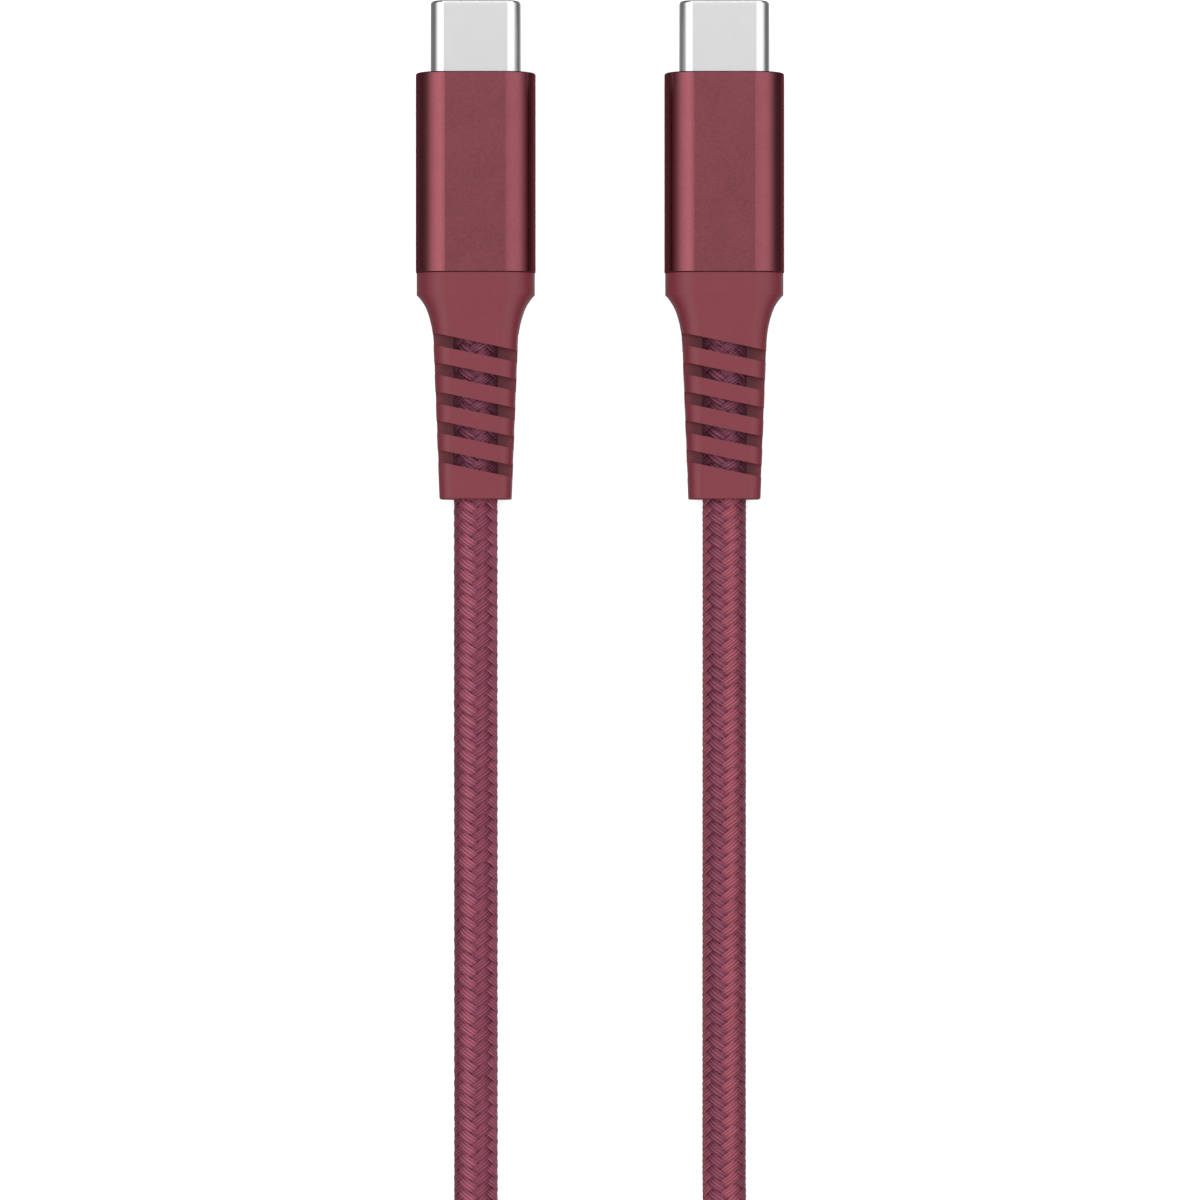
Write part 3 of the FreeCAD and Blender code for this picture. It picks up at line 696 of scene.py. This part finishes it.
# finish of each kind of CAD node, by its name without _a or _b
FINISHES = {
    "shell": grainy("plated_steel", STEEL, 0.18, 1.0, grain=0.00012, contrast=0.02, bump=0.05,
                    spread=0.02, Specular_Tint=(0.72, 0.72, 0.72, 1.0)),
    "insulator": grainy("black_moulding", (0.012, 0.012, 0.013), 0.42, grain=0.0001, contrast=0.25,
                        bump=0.2),
    "contact_arms_upper": grainy("contact_gold", (0.80, 0.55, 0.22), 0.22, 1.0, contrast=0.05,
                                 bump=0.1),
    "latch_plate": grainy("spring_steel", (0.62, 0.61, 0.58), 0.28, 1.0, contrast=0.06, bump=0.15),
    "circuit_board": grainy("solder_mask", (0.012, 0.10, 0.045), 0.35, contrast=0.2, grain=0.0006,
                            bump=0.1),
    "marker_chip": grainy("chip_moulding", (0.02, 0.02, 0.022), 0.55, contrast=0.2, bump=0.3),
    "board_passives": grainy("ceramic", (0.30, 0.21, 0.13), 0.5, contrast=0.2),
    "inner_mould": grainy("natural_moulding", (0.62, 0.58, 0.50), 0.5, contrast=0.08, grain=0.0008),
    "shield_upper": grainy("tinned_can", (0.66, 0.66, 0.65), 0.30, 1.0, contrast=0.08, grain=0.0005,
                           bump=0.15),
    "ferrule": grainy("crimp_metal", (0.55, 0.54, 0.52), 0.35, 1.0, contrast=0.1, bump=0.3),
    "jacket_end": mat_core,
    "bezel": grainy("burgundy_plastic", (0.14, 0.035, 0.045), 0.45, contrast=0.08, bump=0.2),
    "housing": grainy("anodised_sleeve", ANODISED, 0.22, 1.0, grain=0.00020, contrast=0.10, bump=0.22,
                      spread=0.03, Specular_Tint=(0.62, 0.42, 0.45, 1.0)),
    "strain_relief": grainy("relief_rubber", RELIEF, 0.33, grain=0.00022, contrast=0.04, bump=0.10,
                            Specular_IOR_Level=0.32),
    "wire_power": grainy("wire_red", (0.36, 0.02, 0.02), 0.4),
    "wire_data_plus": grainy("wire_green", (0.02, 0.22, 0.06), 0.4),
    "wire_data_minus": grainy("wire_white", (0.70, 0.69, 0.66), 0.4),
    "wire_ground": grainy("wire_black", (0.015, 0.015, 0.015), 0.4, contrast=0.2),
    "wire_config": grainy("wire_blue", (0.02, 0.07, 0.32), 0.4),
}
SAME_FINISH = {
    "contact_arms_lower": "contact_arms_upper",
    "contact_tails_upper": "contact_arms_upper",
    "contact_tails_lower": "contact_arms_upper",
    "latch_arm_right": "latch_plate",
    "latch_arm_left": "latch_plate",
    "emi_spring_upper": "latch_plate",
    "emi_spring_lower": "latch_plate",
    "shield_lower": "shield_upper",
}
for node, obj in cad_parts.items():
    kind = node[:-2] if node.endswith(("_a", "_b")) else node
    finish = FINISHES.get(SAME_FINISH.get(kind, kind))
    if finish is None:
        continue
    for material_slot in obj.material_slots:
        material_slot.material = finish
    if not obj.material_slots:
        obj.data.materials.append(finish)

# ------------------------------------------------------------------ riding, and hiding the CAD cord and tie
for piece in [core, strap] + braid:
    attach(piece, "cable")
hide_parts("cord_end_a", "cord_end_b", "cord_lead_a", "cord_lead_b", "cord_hank")
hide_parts("hank_tie")

# ------------------------------------------------------------------ floor and backdrop
FLOOR_SIZE = 16.0
BACKDROP_R = 6.0
BACKDROP_H = 5.0
BACKDROP_SIDES = 64


def studio_white(name, level, glow):
    """A matt white that also glows, with a trace of unevenness."""
    colour = (level, level, level)
    m = Nodes(name, Roughness=0.9, Specular_IOR_Level=0.1, Emission_Color=(1.0, 1.0, 1.0, 1.0),
              Emission_Strength=glow)
    uneven = m.noise(m.coords(), 40.0, 2.0)
    m.set("Base Color", m.ramp(uneven, scaled_colour(colour, 0.99), colour))
    return m.mat


def floor_mesh():
    half = FLOOR_SIZE / 2
    mesh = bpy.data.meshes.new("floor")
    corners = [(-half, -half, 0.0), (half, -half, 0.0), (half, half, 0.0), (-half, half, 0.0)]
    mesh.from_pydata(corners, [], [(0, 1, 2, 3)])
    return mesh


def backdrop_mesh():
    """A cyclorama round the set that closes overhead."""
    profile = [
        (BACKDROP_R, -0.02), (BACKDROP_R, BACKDROP_H * 0.5), (BACKDROP_R * 0.8, BACKDROP_H),
        (0.0, BACKDROP_H * 1.2),
    ]
    verts, faces = [], []
    for r, z in profile:
        for i in range(BACKDROP_SIDES):
            a = 2 * math.pi * i / BACKDROP_SIDES
            verts.append((r * math.cos(a), r * math.sin(a), z))
    for j in range(len(profile) - 1):
        low, high = j * BACKDROP_SIDES, (j + 1) * BACKDROP_SIDES
        for i in range(BACKDROP_SIDES):
            k = (i + 1) % BACKDROP_SIDES
            faces.append((low + i, low + k, high + k, high + i))
    mesh = bpy.data.meshes.new("backdrop")
    mesh.from_pydata(verts, [], faces)
    return mesh


floor = add_object("floor", floor_mesh())
floor.data.materials.append(studio_white("pale_floor", 0.82, 0.55))
floor.visible_glossy = False
floor.visible_diffuse = False

# only the camera sees the backdrop
cyclorama = add_object("backdrop", backdrop_mesh())
cyclorama.data.materials.append(studio_white("white_cyclorama", 0.9, 1.0))
for rays in ("diffuse", "glossy", "shadow", "transmission"):
    setattr(cyclorama, "visible_" + rays, False)

# ------------------------------------------------------------------ light
# a soft box in front of the plugs, low enough to reach into their mouths
front_box = bpy.data.lights.new("front_soft_box", "AREA")
front_box.shape = "RECTANGLE"
front_box.size = 0.40
front_box.size_y = 0.16
front_box.energy = 0.6
front = add_object("front_soft_box", front_box)
front.location = (0.10, 0.50, 0.10)
front.rotation_euler = (-front.location).to_track_quat("-Z", "Y").to_euler()

# The world is the studio round the set.  Levels are brightnesses, and PEAK is the brightest that
# a ramp can hold.
PEAK = 2.0
# (degrees from overhead, towards -X and +X; level): a soft box on each side
BOXES = [
    (-180, 0.22), (-140, 0.38), (-118, 0.22), (-100, 0.18), (-84, 0.25), (-72, 0.50), (-62, 0.95),
    (-50, 1.45), (-32, 1.85), (-12, 1.95), (12, 1.42), (32, 1.50), (52, 1.45), (64, 1.05),
    (76, 0.58), (88, 0.24), (104, 0.16), (120, 0.18), (142, 0.60), (180, 0.22),
]
# where the gap between the two boxes shows, straight overhead
GAP = [(-12, 0.0), (-5, PEAK), (4, PEAK), (9, 0.0)]
# (the direction's Y, from -1 to 1; level): how bright the gap is along the cord
OVERHEAD = [
    (-0.6, 1.2), (-0.3, 0.70), (-0.14, 0.45), (-0.02, 0.50), (0.06, 0.72), (0.10, 0.90), (0.3, 1.1),
    (0.6, 1.2),
]
# the studio is dark at its two ends
ENDS = [
    (-1.0, 0.30), (-0.9, 0.40), (-0.7, 1.6), (-0.5, PEAK), (0.5, PEAK), (0.7, 1.6), (0.86, 0.5),
    (1.0, 0.16),
]

world = bpy.data.worlds.new("world")
scene.world = world
world.use_nodes = True
tree = world.node_tree


def world_math(operation, *sources):
    node = tree.nodes.new("ShaderNodeMath")
    node.operation = operation
    for source, socket in zip(sources, node.inputs):
        tree.links.new(source, socket)
    return node.outputs[0]


def level_ramp(source, levels, reach):
    """Brightness by position along source, which goes from -reach to reach."""
    unit_range = tree.nodes.new("ShaderNodeMapRange")
    unit_range.inputs["From Min"].default_value = -reach
    unit_range.inputs["From Max"].default_value = reach
    tree.links.new(source, unit_range.inputs["Value"])
    node = tree.nodes.new("ShaderNodeValToRGB")
    elements = node.color_ramp.elements
    while len(elements) < len(levels):
        elements.new(0.5)
    for element, (at, _) in zip(elements, levels):
        element.position = (at + reach) / (2 * reach)
    for element, (_, level) in zip(elements, levels):
        k = level / PEAK
        element.color = (k, k, k, 1.0)
    tree.links.new(unit_range.outputs["Result"], node.inputs["Fac"])
    return node.outputs["Color"]


def world_mix(blend, a, b, factor=None):
    node = tree.nodes.new("ShaderNodeMix")
    node.data_type = "RGBA"
    node.blend_type = blend
    node.inputs["Factor"].default_value = 1.0
    if factor is not None:
        tree.links.new(factor, node.inputs["Factor"])
    tree.links.new(a, node.inputs["A"])
    tree.links.new(b, node.inputs["B"])
    return node.outputs["Result"]


direction = tree.nodes.new("ShaderNodeSeparateXYZ")
tree.links.new(tree.nodes.new("ShaderNodeTexCoord").outputs["Generated"], direction.inputs[0])
across_sky = world_math("DEGREES", world_math("ARCTAN2", direction.outputs["X"], direction.outputs["Z"]))
along_sky = direction.outputs["Y"]
boxes = level_ramp(across_sky, BOXES, 180)
gap = level_ramp(across_sky, GAP, 180)
overhead = level_ramp(along_sky, OVERHEAD, 1)
ends = level_ramp(along_sky, ENDS, 1)
background = tree.nodes["Background"]
background.inputs["Strength"].default_value = PEAK
studio = world_mix("MULTIPLY", world_mix("MIX", boxes, overhead, gap), ends)
tree.links.new(studio, background.inputs["Color"])

scene.view_settings.view_transform = "Standard"
scene.view_settings.look = "None"

# ------------------------------------------------------------------ sizes and the end
bpy.context.view_layer.update()
print("cord length", round(LENGTH, 4), "route points", len(route))
